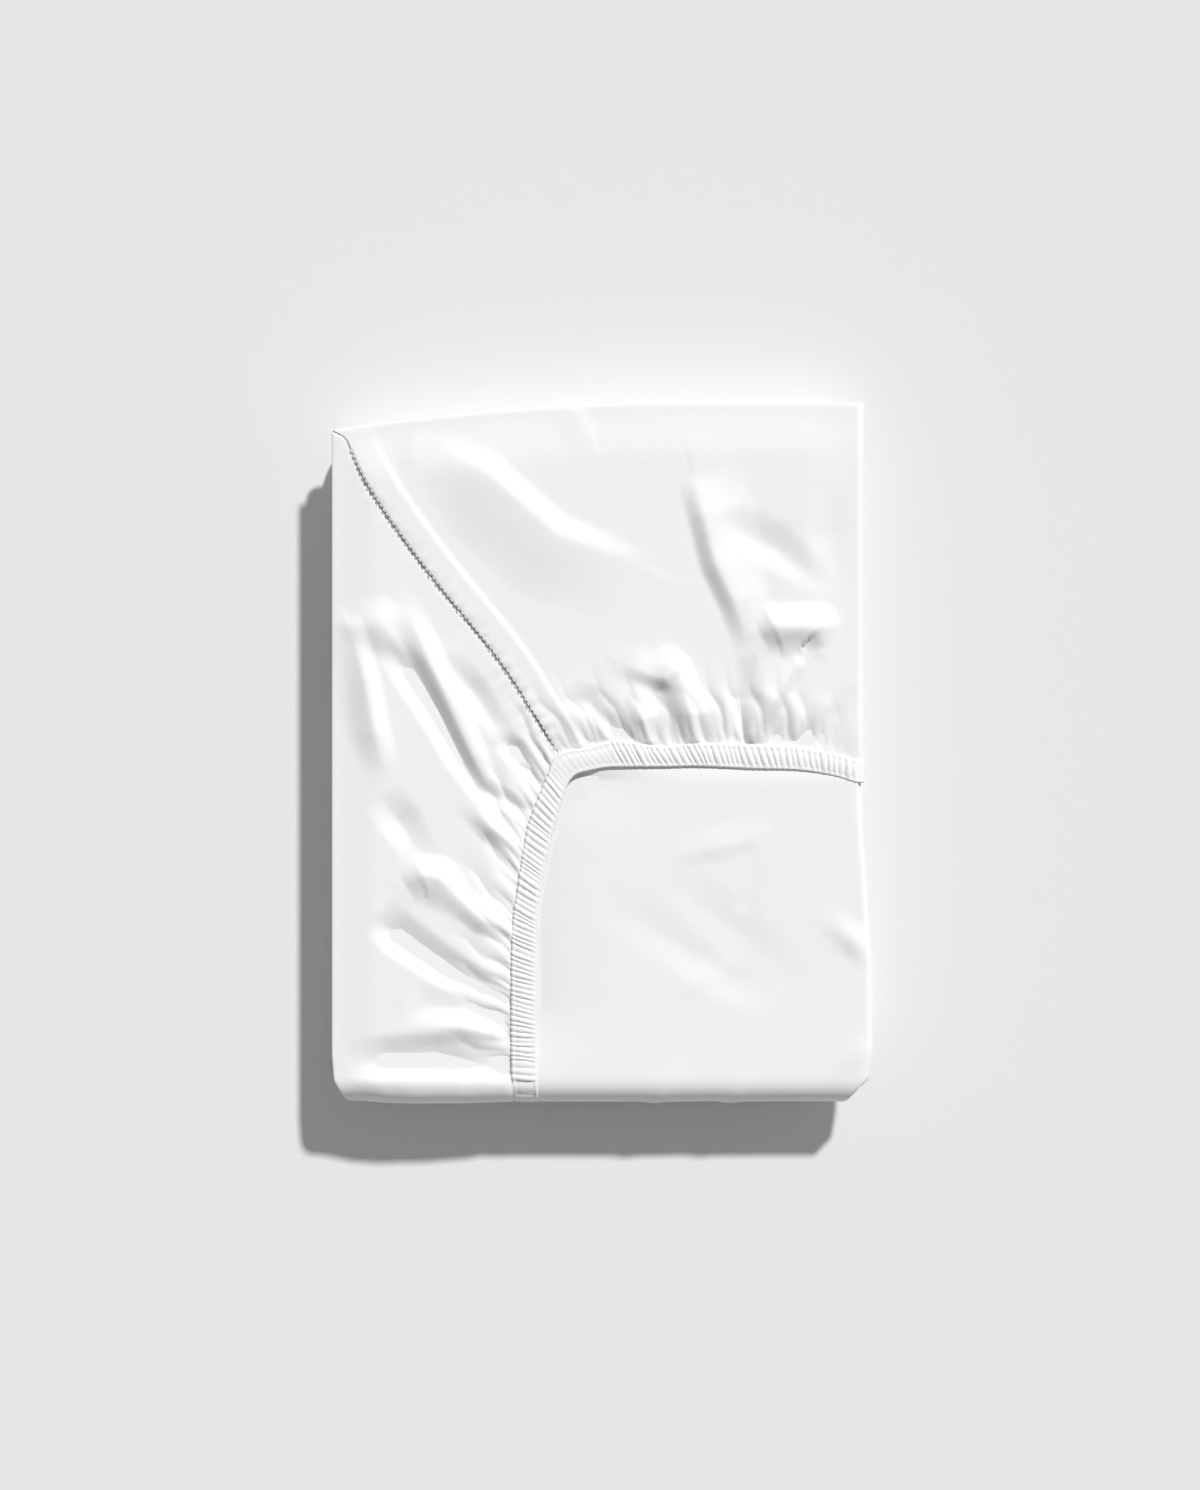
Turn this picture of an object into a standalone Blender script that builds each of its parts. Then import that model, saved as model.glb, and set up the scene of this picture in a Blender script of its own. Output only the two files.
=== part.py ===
"""Folded fitted sheet: one cloth with its side and end skirts turned in over the bed panel, the long
strip folded across itself, then folded in three, with one elasticated corner lying on top.

Frame: the packet lies flat on z = 0, its long side along Y, the elasticated corner facing up (+Z).
The strip is first laid out flat: x across it, h up through its layers, then bent into three limbs.
"""

import math

import bmesh
import bpy
from mathutils import Vector

MM = 0.001

# Whole packet
PACKET_WIDTH = 261 * MM
PACKET_LENGTH = 337 * MM

# Cloth as folded: each modelled layer stands for nearly two plies of the real percale
CLOTH = 1.2 * MM
PITCH = 1.6 * MM
BED_LAYERS = 6
LIMB_GAP = 0.6 * MM
STRIP_THICKNESS = BED_LAYERS * PITCH + CLOTH
STRIP_MIDDLE = -BED_LAYERS * PITCH / 2
BEND_RADIUS = (STRIP_THICKNESS + LIMB_GAP) / 2
FAT_FOLD_RADIUS = 1.5 * PITCH
THIN_FOLD_RADIUS = 0.5 * PITCH
FLAP_WRAP_DEGREES = 100

# Elastic edging
BAND_WIDTH = 11.4 * MM
BAND_THICKNESS = 1.4 * MM
PIECE_GAP = 0.3 * MM

# How finely each stretch is divided
SKIRT_STEPS = 6
THIN_FOLD_STEPS = 4
FAT_FOLD_STEPS = 6
PANEL_STEPS = 18
RUN_STEPS = 14
BEND_STEPS = 8

# Edges of the top limb, from the packet's centre
LEFT_FOLD_LINE = -PACKET_WIDTH / 2 + THIN_FOLD_RADIUS + CLOTH / 2
FLAP_RIGHT_EDGE = 126.5 * MM
RIGHT_FOLD_LINE = FLAP_RIGHT_EDGE - (FAT_FOLD_RADIUS + PITCH + CLOTH / 2)
FRONT_BEND_LINE = -PACKET_LENGTH / 2 + BEND_RADIUS + STRIP_THICKNESS / 2
BACK_BEND_LINE = -FRONT_BEND_LINE - 2.5 * MM
BACK_CREST = PACKET_LENGTH / 2 - THIN_FOLD_RADIUS - CLOTH / 2
CREST_X = 47 * MM
CORNER_DROP = 13.5 * MM
LOOSE_END_INSET = 6 * MM
LAYER_STAGGER = 1.4 * MM
STAGGER_WAVE = 2.7 * PITCH

# Sideways drift of each limb's edges, at its start and at its end
LIMB_DRIFT = (
    {"left": (0.0, 0.0), "right": (0.0, 5.6 * MM)},
    {"left": (1.6 * MM, 2.4 * MM), "right": (3.0 * MM, 0.4 * MM)},
    {"left": (1.2 * MM, 0.6 * MM), "right": (-0.6 * MM, 1.8 * MM)},
)
DRIFT_STARTS_X = -20 * MM
PANEL_FLARE = (-24 * MM, -112 * MM)

# The skirt's elasticated edge on top, from the corner seam: x, y in millimetres
EDGE_TO_FRONT = ((-22, 0), (-29, -18), (-35, -37), (-39, -61), (-42.5, -85), (-43.2, -119))
EDGE_TO_RIGHT = ((-22, 0), (-13, 1), (-1, 3), (18, 4.6), (47, 4.1), (76, 2.2), (95, 0.2))
EDGE_END_Y = -3.5 * MM

# Main folds standing up from the skirts, foot at the elastic and tip away from it: millimetres
FOLDS = (
    {"foot": (-24, 3), "tip": (-122, 148), "half_width": 10, "height": 1.6},
    {"foot": (-32, -30), "tip": (-112, 82), "half_width": 11, "height": 2.6},
    {"foot": (-40, -64), "tip": (-106, 40), "half_width": 12, "height": 2.2},
    {"foot": (-43, -104), "tip": (-108, -62), "half_width": 11, "height": 3.0},
    {"foot": (-43, -134), "tip": (-120, -128), "half_width": 9, "height": 2.4},
    {"foot": (2, 5), "tip": (-28, 62), "half_width": 10, "height": 2.4},
    {"foot": (26, 6), "tip": (16, 74), "half_width": 11, "height": 3.2},
    {"foot": (58, 6), "tip": (42, 118), "half_width": 12, "height": 3.0},
    {"foot": (92, 3), "tip": (96, 70), "half_width": 11, "height": 3.4},
    {"foot": (16, 84), "tip": (-96, 150), "half_width": 16, "height": 2.6},
)


def clear_scene():
    for thing in list(bpy.data.objects):
        bpy.data.objects.remove(thing)


def material(name, colour, roughness):
    made = bpy.data.materials.new(name)
    made.use_nodes = True
    shader = made.node_tree.nodes["Principled BSDF"]
    shader.inputs["Base Color"].default_value = (*colour, 1.0)
    shader.inputs["Roughness"].default_value = roughness
    shader.inputs["Metallic"].default_value = 0.0
    return made


def mix(a, b, share):
    return a + (b - a) * share


def smooth(value, low, high):
    """0 at low, 1 at high, with level ends; low may be above high."""
    share = min(1.0, max(0.0, (value - low) / (high - low)))
    return share * share * (3 - 2 * share)


def along(route, share):
    """The point at that share of a route's length."""
    lengths = [(b - a).length for a, b in zip(route, route[1:])]
    left = share * sum(lengths)
    for start, end, length in zip(route, route[1:], lengths):
        if left <= length:
            return start.lerp(end, left / length)
        left -= length
    return route[-1].copy()


def route_of(table, *more):
    return [Vector((x * MM, y * MM)) for x, y in table] + [Vector(point) for point in more]


EDGE_FRONT_X = EDGE_TO_FRONT[-1][0] * MM
FRONT_ROUTE = route_of(EDGE_TO_FRONT, (EDGE_FRONT_X, FRONT_BEND_LINE))
RIGHT_ROUTE = route_of(EDGE_TO_RIGHT, (RIGHT_FOLD_LINE, EDGE_END_Y))


def back_edge(x):
    """The back fold line: highest right of the middle, falling to the seamed corner."""
    fall = max(0.0, CREST_X - x) / (CREST_X - LEFT_FOLD_LINE)
    return BACK_CREST - CORNER_DROP * fall * fall


def stagger(h):
    """How far a layer's loose end stops short of the longest one."""
    return LAYER_STAGGER * (1 - math.cos(2 * math.pi * h / STAGGER_WAVE))


def fold_rise(x, y):
    """Height that the skirts' main folds add at a point."""
    rise = 0.0
    for fold in FOLDS:
        foot = Vector(fold["foot"]) * MM
        spine = Vector(fold["tip"]) * MM - foot
        offset = Vector((x, y)) - foot
        share = offset.dot(spine) / spine.length_squared
        if not 0 <= share <= 1:
            continue
        across = (offset - spine * share).length / (fold["half_width"] * MM)
        if across < 1:
            ends = smooth(share, 0, 0.12) * smooth(share, 1, 0.55)
            rise = max(rise, fold["height"] * MM * ends * (1 - across * across) ** 2)
    return rise


def half_turn(centre, radius, side, down, steps):
    """Points of a half circle at the right (side 1) or left (-1), without its first point."""
    points = []
    for step in range(1, steps + 1):
        angle = math.pi * step / steps
        points.append(
            (centre[0] + side * radius * math.sin(angle), centre[1] + down * radius * math.cos(angle))
        )
    return points


def skirt_profile():
    """(share of the skirt's depth, inset, h) from the elastic edge, round the fold, to the panel."""
    profile = [(1 - step / SKIRT_STEPS, 0.0, 0.0) for step in range(SKIRT_STEPS + 1)]
    fold = half_turn((0.0, -THIN_FOLD_RADIUS), THIN_FOLD_RADIUS, -1, 1, THIN_FOLD_STEPS)
    return profile + [(0.0, inset, h) for inset, h in fold]


def panel_columns():
    """(x, h, outward x, outward h) across the bed panel and round the right fold, under the flap."""
    columns = []
    for step in range(PANEL_STEPS + 1):
        x = mix(LEFT_FOLD_LINE, RIGHT_FOLD_LINE, step / PANEL_STEPS)
        columns.append((x, -PITCH, 0.0, 1.0))
    for step in range(1, FAT_FOLD_STEPS):
        angle = math.pi * step / FAT_FOLD_STEPS
        out = (math.sin(angle), math.cos(angle))
        x = RIGHT_FOLD_LINE + FAT_FOLD_RADIUS * out[0]
        h = -2.5 * PITCH + FAT_FOLD_RADIUS * out[1]
        columns.append((x, h, *out))
    return columns


def strip_below():
    """(x, h) of the cloth after the right fold: two plies back and forth, three passes each."""
    left = LEFT_FOLD_LINE + FAT_FOLD_RADIUS
    far = (left + LEFT_FOLD_LINE) / 2
    right_fold = (RIGHT_FOLD_LINE, -2.5 * PITCH)
    left_fold = (left, -4.5 * PITCH)
    end_fold = (RIGHT_FOLD_LINE + PITCH / 2, -5.5 * PITCH)
    path = [(RIGHT_FOLD_LINE, -4 * PITCH), (0.0, -4 * PITCH), (left, -4 * PITCH)]
    path += half_turn(left_fold, THIN_FOLD_RADIUS, -1, 1, THIN_FOLD_STEPS)
    path += [(0.0, -5 * PITCH), (end_fold[0], -5 * PITCH)]
    path += half_turn(end_fold, THIN_FOLD_RADIUS, 1, 1, THIN_FOLD_STEPS)
    path += [(0.0, -6 * PITCH), (left, -6 * PITCH)]
    path += half_turn(left_fold, FAT_FOLD_RADIUS, -1, -1, FAT_FOLD_STEPS)
    path += [(0.0, -3 * PITCH), (RIGHT_FOLD_LINE, -3 * PITCH)]
    path += half_turn(right_fold, THIN_FOLD_RADIUS, 1, -1, THIN_FOLD_STEPS)
    return path + [(0.0, -2 * PITCH), (far, -2 * PITCH)]


def drifted(x, limb, share):
    """x with the limb's sideways drift: its left and right edges wander, its middle hardly."""
    left = mix(*LIMB_DRIFT[limb]["left"], share)
    right = mix(*LIMB_DRIFT[limb]["right"], share)
    if x < DRIFT_STARTS_X:
        return x + left * (DRIFT_STARTS_X - x) / (DRIFT_STARTS_X - LEFT_FOLD_LINE)
    return x + right * (x - DRIFT_STARTS_X) / (RIGHT_FOLD_LINE - DRIFT_STARTS_X)


TOP_MIDDLE = STRIP_THICKNESS / 2 + 4 * BEND_RADIUS
MIDDLE_MIDDLE = TOP_MIDDLE - 2 * BEND_RADIUS
BOTTOM_MIDDLE = STRIP_THICKNESS / 2


def on_top(x, y, h, flares=True):
    """A point of the top limb. The bed panel's right side flares out below the flap."""
    share = smooth(y, *PANEL_FLARE) if flares else 0.0
    return Vector((drifted(x, 0, share), y, TOP_MIDDLE + h - STRIP_MIDDLE))


def beyond_top(x, h, end):
    """The same strip point carried round the front bend, back under, round again and forward."""
    rise = h - STRIP_MIDDLE
    points = []
    for step in range(1, BEND_STEPS + 1):
        angle = math.pi * step / BEND_STEPS
        y = FRONT_BEND_LINE - (BEND_RADIUS + rise) * math.sin(angle)
        z = TOP_MIDDLE - BEND_RADIUS + (BEND_RADIUS + rise) * math.cos(angle)
        share = step / BEND_STEPS
        points.append(Vector((mix(drifted(x, 0, 1), drifted(x, 1, 0), share), y, z)))
    for step in range(BEND_STEPS + 1):
        angle = math.pi * step / BEND_STEPS
        y = BACK_BEND_LINE + (BEND_RADIUS - rise) * math.sin(angle)
        z = MIDDLE_MIDDLE - BEND_RADIUS + (BEND_RADIUS - rise) * math.cos(angle)
        share = step / BEND_STEPS
        points.append(Vector((mix(drifted(x, 1, 1), drifted(x, 2, 0), share), y, z)))
    points.append(Vector((drifted(x, 2, 1), end, BOTTOM_MIDDLE + rise)))
    return points


def loose_end(h):
    return -PACKET_LENGTH / 2 + LOOSE_END_INSET + stagger(h)


def side_skirt_rows(profile):
    """The left skirt and its fold, as rows along the strip, one for each step of the profile."""
    rows = []
    for depth, inset, h in profile:
        row = []
        for step in range(RUN_STEPS + 1):
            share = step / RUN_STEPS
            edge = along(FRONT_ROUTE, share)
            fold_y = mix(back_edge(LEFT_FOLD_LINE), FRONT_BEND_LINE, share)
            x = mix(LEFT_FOLD_LINE, edge.x, depth) + inset
            y = mix(fold_y, edge.y, depth) - inset * (1 - share)
            settle = smooth(share, 1, 0.9)
            rise = fold_rise(x, y) * settle if 0 < depth < 1 else 0.0
            row.append(on_top(x, y, h + rise))
        x = mix(LEFT_FOLD_LINE, EDGE_FRONT_X, depth) + inset
        rows.append(row + beyond_top(x, h, loose_end(h)))
    return rows


def end_skirt_rows(profile, columns):
    """The back skirt and its fold: each profile step, along the panel's columns and round the side."""
    wrap = [c for c in columns if c[2] == 0 or c[2] > 0 and c[1] > -2.9 * PITCH]
    rows = []
    for depth, inset, h in profile:
        row = []
        for x, base_h, out_x, out_h in wrap:
            share = min(1.0, (x - LEFT_FOLD_LINE) / (RIGHT_FOLD_LINE - LEFT_FOLD_LINE))
            edge = along(RIGHT_ROUTE, share)
            flat_x = min(x, RIGHT_FOLD_LINE)
            lift = h + PITCH
            left_x = mix(flat_x, edge.x, depth) + inset * (1 - share)
            left_y = mix(back_edge(flat_x), edge.y, depth) - inset
            rise = 0.0
            if 0 < depth < 1 and out_x == 0:
                rise = fold_rise(left_x, left_y) * smooth(share, 1, 0.9)
            px = left_x + (x - flat_x) + out_x * lift
            row.append(on_top(px, left_y, base_h + out_h * lift + rise, flares=False))
        rows.append(row)
    return rows


def bed_rows(columns, below):
    """The bed panel and the plies under it, each point carried through all three limbs."""
    path = [(x, h) for x, h, _, _ in columns] + below
    rows = []
    for number, (x, h) in enumerate(path):
        on_panel = number < len(columns)
        back = back_edge(min(x, RIGHT_FOLD_LINE)) - (0.0 if on_panel else stagger(h) + LAYER_STAGGER)
        row = []
        for step in range(RUN_STEPS + 1):
            row.append(on_top(x, mix(back, FRONT_BEND_LINE, step / RUN_STEPS), h))
        rows.append(row + beyond_top(x, h, loose_end(h)))
    return rows


def add_rows(mesh, rows):
    """Quads between rows of points of equal length."""
    grid = [[mesh.verts.new(point) for point in row] for row in rows]
    for upper, lower in zip(grid, grid[1:]):
        for number in range(len(upper) - 1):
            mesh.faces.new((upper[number], upper[number + 1], lower[number + 1], lower[number]))


def thick_piece(name, grids, thickness, finish):
    """One object from grids of points that share their borders, thickened evenly both ways."""
    mesh = bmesh.new()
    for rows in grids:
        add_rows(mesh, rows)
    bmesh.ops.remove_doubles(mesh, verts=mesh.verts, dist=0.02 * MM)
    bmesh.ops.recalc_face_normals(mesh, faces=mesh.faces)
    data = bpy.data.meshes.new(name)
    mesh.to_mesh(data)
    mesh.free()
    data.materials.append(finish)
    piece = bpy.data.objects.new(name, data)
    bpy.context.scene.collection.objects.link(piece)
    solid = piece.modifiers.new("thickness", "SOLIDIFY")
    solid.thickness = thickness
    solid.offset = 0.0
    solid.use_even_offset = True
    solid.use_quality_normals = True
    return piece


def beside(route, distance):
    """The route moved sideways to its left, every corner kept square to its neighbours."""
    moved = []
    for number, point in enumerate(route):
        before = (point - route[max(number - 1, 0)]).normalized()
        after = (route[min(number + 1, len(route) - 1)] - point).normalized()
        before = before if before.length else after
        after = after if after.length else before
        middle = (before + after).normalized()
        side = Vector((-middle.y, middle.x))
        moved.append(point + side * distance / middle.dot(after))
    return moved


def band_rows(columns):
    """The elastic edging: its two long edges, from under the stack, round the corner, to the side."""
    to_front = [along(FRONT_ROUTE, step / RUN_STEPS) for step in range(RUN_STEPS + 1)]
    to_right = []
    for x, _, out_x, _ in columns:
        if out_x == 0:
            share = (x - LEFT_FOLD_LINE) / (RIGHT_FOLD_LINE - LEFT_FOLD_LINE)
            to_right.append(along(RIGHT_ROUTE, share))
    centre = to_front[::-1] + to_right[1:]
    rows = []
    for across in (PIECE_GAP, PIECE_GAP + BAND_WIDTH):
        line = beside(centre, -across)
        line[-1].x = RIGHT_FOLD_LINE
        front_x = line[0].x
        hidden = beyond_top(front_x, 0.0, loose_end(0.0))[::-1]
        row = hidden + [on_top(point.x, point.y, 0.0, flares=False) for point in line]
        for x, base_h, out_x, out_h in columns:
            if out_x > 0 and base_h > -2.9 * PITCH:
                px = line[-1].x + (x - RIGHT_FOLD_LINE) + out_x * PITCH
                row.append(on_top(px, line[-1].y, base_h + out_h * PITCH, flares=False))
        rows.append(row)
    return rows


def centre_on_origin(pieces):
    """Puts the middle of the packet's base on the origin."""
    graph = bpy.context.evaluated_depsgraph_get()
    corners = []
    for piece in pieces:
        corners += [Vector(corner) for corner in piece.evaluated_get(graph).bound_box]
    low = Vector([min(corner[axis] for corner in corners) for axis in range(3)])
    high = Vector([max(corner[axis] for corner in corners) for axis in range(3)])
    shift = Vector((-(low.x + high.x) / 2, -(low.y + high.y) / 2, -low.z))
    for piece in pieces:
        for vertex in piece.data.vertices:
            vertex.co += shift


def main():
    clear_scene()
    percale = material("white_percale", (0.93, 0.93, 0.935), 0.82)
    elastic = material("white_elastic", (0.90, 0.90, 0.90), 0.78)
    profile = skirt_profile()
    columns = panel_columns()
    cloth_grids = (
        side_skirt_rows(profile),
        end_skirt_rows(profile, columns),
        bed_rows(columns, strip_below()),
    )
    cloth = thick_piece("sheet_cloth", cloth_grids, CLOTH, percale)
    band = thick_piece("elastic_edging", (band_rows(columns),), BAND_THICKNESS, elastic)
    centre_on_origin((cloth, band))


main()
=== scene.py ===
import math

import bmesh
import bpy
import numpy as np
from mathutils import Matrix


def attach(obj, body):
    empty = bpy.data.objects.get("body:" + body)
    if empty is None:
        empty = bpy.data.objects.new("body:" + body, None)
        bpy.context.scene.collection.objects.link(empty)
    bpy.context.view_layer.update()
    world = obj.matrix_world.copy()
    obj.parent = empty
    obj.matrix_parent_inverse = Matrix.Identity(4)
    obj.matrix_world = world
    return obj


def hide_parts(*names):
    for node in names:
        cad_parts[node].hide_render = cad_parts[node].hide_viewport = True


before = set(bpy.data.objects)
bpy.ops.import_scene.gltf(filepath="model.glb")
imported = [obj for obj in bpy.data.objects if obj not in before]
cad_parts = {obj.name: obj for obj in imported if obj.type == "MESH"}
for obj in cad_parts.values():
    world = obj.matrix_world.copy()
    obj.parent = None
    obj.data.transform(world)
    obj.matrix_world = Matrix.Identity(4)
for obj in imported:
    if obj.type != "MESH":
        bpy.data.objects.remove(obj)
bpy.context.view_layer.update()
mm = 0.001

# Lengths in millimetres. The bed strip lies flat as (x, h), then bends into three limbs.
packet = {
    "pitch": 1.6,  # between two doubled layers
    "plySpread": 0.4,  # each ply of a doubled layer, from its middle
    "clothThickness": 0.3,
    "bendRadius": 5.7,
    "fatRadius": 2.4,
    "thinRadius": 0.8,
    "stripMiddle": -4.8,
    "lowestMiddle": 5.4,  # height of the bottom limb's middle
    "leftFold": -129.1,
    "rightFold": 121.9,
    "frontBend": -157.4,
    "backBend": 154.9,
    "backCrest": 167.2,
    "crestX": 47.0,
    "cornerDrop": 13.0,
    "backInset": 1.5,  # the hidden back bend stays inside the top edge
    "looseEnd": 12.0,  # the loose end stops this far short of the front
    "driftFrom": -20.0,
    "hemTurn": 0.55,  # radius where a skirt turns in over the bed
    "hemTurnSteps": 7,
    "hemInsets": (4, 12),
}
p = packet
limbLength = p["backBend"] - p["frontBend"]
halfTurn = math.pi * p["bendRadius"]
topMiddle = p["lowestMiddle"] + 4 * p["bendRadius"]
middleMiddle = topMiddle - 2 * p["bendRadius"]
backBendStart = halfTurn + limbLength
backBendEnd = 2 * halfTurn + limbLength
stripEnd = backBendEnd + limbLength - p["looseEnd"]

# Sideways wander of the left and right folds, at places along the strip
drift = {
    "at": [-400, -135, -60, -12, 0, 5, 10, 18, 40, 200, 330, 350, 700],
    "left": [0, 0, 0, 0, 1.0, 5.5, 8.0, 6.0, 2.5, 1.8, 2.4, 1.2, 0.8],
    "right": [0, 0, 5.0, 5.4, 3.5, -3.5, -7.0, -5.0, 1.0, 2.0, 0.4, -0.6, 1.8],
}

# How the end skirt and the elastic go round the right side and tuck in between two layers
sideWrap = {
    "radius": 4.0,
    "degrees": 105,
    "tuckX": [3.0, 1.6, -1.0, -6.0],
    "tuckH": [-6.1, -6.9, -7.2, -7.2],
    "insideShare": 0.72,  # the bed's own fold, inside the skirt's
    "insideHeight": -1.1,
}

noiseCount = 997
puckerLook = {
    "start": -60.0,
    "count": 900,
    "sizes": (0.65, 1.35),
    "heights": (0.45, 1.0),
    "roundness": 0.8,
}
creaseCrispness = 0.45  # 1 is a straight slope, 0 a soft one


def smoothStep(value, low, high):
    share = np.clip((np.asarray(value, float) - low) / (high - low), 0, 1)
    return share * share * (3 - 2 * share)


def lineNoise(place, seed):  # smooth noise from -1 to 1 along a line
    levels = np.random.default_rng(seed).uniform(-1, 1, noiseCount)
    cell = np.floor(place).astype(int)
    share = smoothStep(place - cell, 0, 1)
    return levels[cell % noiseCount] * (1 - share) + levels[(cell + 1) % noiseCount] * share


def puckers(place, size, seed):  # round ridges 0 to 1 with sharp valleys, unevenly spaced
    look, draw = puckerLook, np.random.default_rng(seed)
    steps = np.cumsum(draw.uniform(*look["sizes"], look["count"]) * size)
    edges = np.concatenate([[look["start"]], look["start"] + steps])
    heights = draw.uniform(*look["heights"], look["count"] + 1)
    cell = np.clip(np.searchsorted(edges, place) - 1, 0, look["count"] - 1)
    share = np.clip((place - edges[cell]) / (edges[cell + 1] - edges[cell]), 0, 1)
    return heights[cell] * np.abs(np.sin(np.pi * share)) ** look["roundness"]


def runOf(line):  # how far along the line each of its points is
    steps = np.linalg.norm(np.diff(line, axis=0), axis=1)
    return np.concatenate([[0], np.cumsum(steps)])


def atPlaces(line, places, known=None):  # the line's points at places between its stations
    known = range(len(line)) if known is None else known
    return np.stack([np.interp(places, known, column) for column in line.T], 1)


def smoothLine(points, count):  # an even smooth line through the points
    points = np.array(points, float)
    ends = np.vstack([2 * points[0] - points[1], points, 2 * points[-1] - points[-2]])
    t = np.linspace(0, 1, 24, endpoint=False)[:, None]
    fine = []
    for a, b, c, d in zip(ends, ends[1:], ends[2:], ends[3:]):
        bend = 2 * a - 5 * b + 4 * c - d
        twist = 3 * b - a - 3 * c + d
        fine.append(0.5 * (2 * b + (c - a) * t + bend * t**2 + twist * t**3))
    fine = np.vstack([*fine, points[-1:]])
    run = runOf(fine)
    return atPlaces(fine, np.linspace(0, run[-1], count), run)


def creaseRise(x, y, creases):
    # each crease is a line of (x, y, height, width to its left, width to its right)
    total = np.zeros(np.shape(x))
    for crease in creases:
        points = np.array(crease, float)
        nearest = np.full(np.shape(x), 1e9)
        rise = np.zeros(np.shape(x))
        for a, b in zip(points, points[1:]):
            run = b[:2] - a[:2]
            share = np.clip(((x - a[0]) * run[0] + (y - a[1]) * run[1]) / (run @ run), 0, 1)
            dx, dy = x - a[0] - share * run[0], y - a[1] - share * run[1]
            away = np.hypot(dx, dy)
            height, leftWidth, rightWidth = (a[k] + (b[k] - a[k]) * share for k in (2, 3, 4))
            width = np.where(run[0] * dy - run[1] * dx > 0, leftWidth, rightWidth)
            u = np.clip(away / width, 0, 1)
            soft = 1 - u * u * (3 - 2 * u)
            value = height * (creaseCrispness * (1 - u) + (1 - creaseCrispness) * soft)
            rise = np.where(away < nearest, value, rise)
            nearest = np.minimum(nearest, away)
        total += rise
    return total


def cornerDip(x):  # how far the back edge falls towards the seamed corner
    fall = np.clip(p["crestX"] - x, 0, None) / (p["crestX"] - p["leftFold"])
    return p["cornerDrop"] * fall**2


def rightShare(x):  # 0 at the middle, 1 at the right fold
    return np.clip((x - p["driftFrom"]) / (p["rightFold"] - p["driftFrom"]), 0, None)


def rightDrift(x, v):
    return np.interp(v, drift["at"], drift["right"]) * rightShare(x)


def placed(x, v, h):  # v runs along the strip: 0 at the front bend, less on the top limb
    bend = p["bendRadius"]
    x, v, h = np.broadcast_arrays(np.asarray(x, float), v, h)
    left = np.interp(v, drift["at"], drift["left"])
    leftShare = np.clip((p["driftFrom"] - x) / (p["driftFrom"] - p["leftFold"]), 0, None)
    rise = h - p["stripMiddle"]
    first = np.clip(v / bend, 0, np.pi)
    y = np.where(v <= 0, p["frontBend"] - v, p["frontBend"] - (bend + rise) * np.sin(first))
    z = topMiddle - bend + (bend + rise) * np.cos(first)
    middle = v > halfTurn
    y = np.where(middle, p["frontBend"] + np.clip(v - halfTurn, 0, limbLength), y)
    z = np.where(middle, middleMiddle - rise, z)
    back = v > backBendStart
    second = np.clip((v - backBendStart) / bend, 0, np.pi)
    y = np.where(back, p["backBend"] + (bend - rise) * np.sin(second), y)
    z = np.where(back, middleMiddle - bend + (bend - rise) * np.cos(second), z)
    last = v > backBendEnd
    y = np.where(last, p["backBend"] - np.clip(v - backBendEnd, 0, None), y)
    z = np.where(last, p["lowestMiddle"] + rise, z)
    backShare = np.where(middle, np.clip((y - p["frontBend"]) / limbLength, 0, 1) ** 2, 0)
    y = y - backShare * (cornerDip(x) + p["backInset"])
    return np.stack([x + left * leftShare + rightDrift(x, v), y, z], -1)


def clothRun(x, y):  # the cloth's own flat measure, for its weave
    return np.stack([x * mm, y * mm], -1)


def clothObject(name, grids, thickness):
    mesh = bmesh.new()
    uvLayer = mesh.loops.layers.uv.new("clothRun")
    for points, runs in grids:
        rows, columns = points.shape[:2]
        made = [[mesh.verts.new(point * mm) for point in row] for row in points]
        for i in range(rows - 1):
            for j in range(columns - 1):
                corners = ((i, j), (i, j + 1), (i + 1, j + 1), (i + 1, j))
                face = mesh.faces.new([made[a][b] for a, b in corners])
                for loop, (a, b) in zip(face.loops, corners):
                    loop[uvLayer].uv = runs[a, b]
    bmesh.ops.remove_doubles(mesh, verts=mesh.verts, dist=0.01 * mm)
    bmesh.ops.recalc_face_normals(mesh, faces=mesh.faces)
    piece = linkedObject(name, mesh)
    piece.data.polygons.foreach_set("use_smooth", [True] * len(piece.data.polygons))
    solid = piece.modifiers.new("thickness", "SOLIDIFY")
    solid.thickness = thickness * mm
    solid.offset = 0.0
    bpy.context.view_layer.objects.active = piece
    bpy.ops.object.modifier_apply(modifier=solid.name)
    return piece


def linkedObject(name, mesh):
    data = bpy.data.meshes.new(name)
    mesh.to_mesh(data)
    mesh.free()
    piece = bpy.data.objects.new(name, data)
    bpy.context.scene.collection.objects.link(piece)
    return piece


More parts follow.
